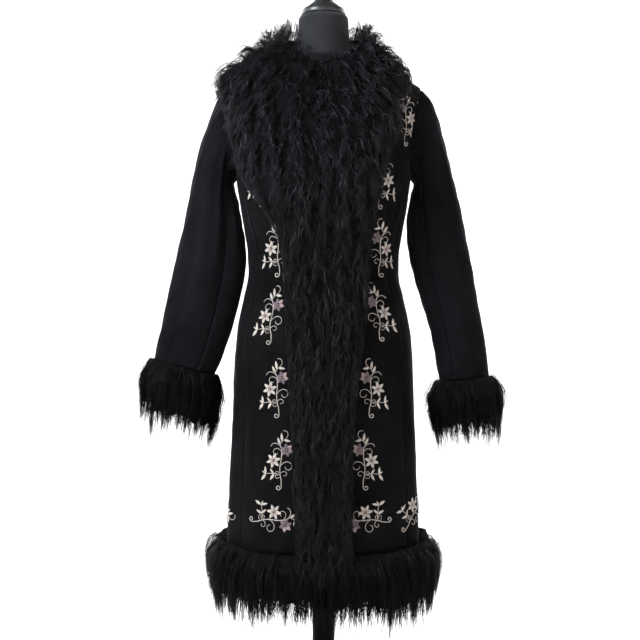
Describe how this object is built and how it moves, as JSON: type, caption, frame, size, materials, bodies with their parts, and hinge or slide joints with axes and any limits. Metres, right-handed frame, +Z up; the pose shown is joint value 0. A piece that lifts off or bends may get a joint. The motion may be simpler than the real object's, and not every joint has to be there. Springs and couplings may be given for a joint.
{
  "type": "fur-trimmed suede coat on a dress form",
  "caption": "Long closed suede coat with a curly fur collar, front bands, hem and cuffs, set out on a limbless dress form with a post and round base.",
  "frame": {"origin": "middle of the round base's underside, on the floor", "axes": "+Z up, -Y towards the coat's front, +X towards the wearer's left"},
  "size_m": [0.7229, 0.38, 1.5384],
  "materials": {
    "suede": "matt napped black suede",
    "fur": "long curly black lamb wool",
    "form": "black knitted cover",
    "wood": "black satin paint"
  },
  "bodies": {
    "root": {"front_left": "suede", "side_left": "suede", "back_left": "suede", "sleeve_left_under": "suede", "sleeve_left_top": "suede", "fur_cuff_left": "fur", "fur_band_left": "fur", "fur_collar_left": "fur", "fur_hem_left": "fur", "front_right": "suede", "side_right": "suede", "back_right": "suede", "sleeve_right_under": "suede", "sleeve_right_top": "suede", "fur_cuff_right": "fur", "fur_band_right": "fur", "fur_collar_right": "fur", "fur_hem_right": "fur", "form_torso": "form", "neck_cap": "wood", "stand_base": "wood", "stand_post": "wood"}
  },
  "joints": []
}
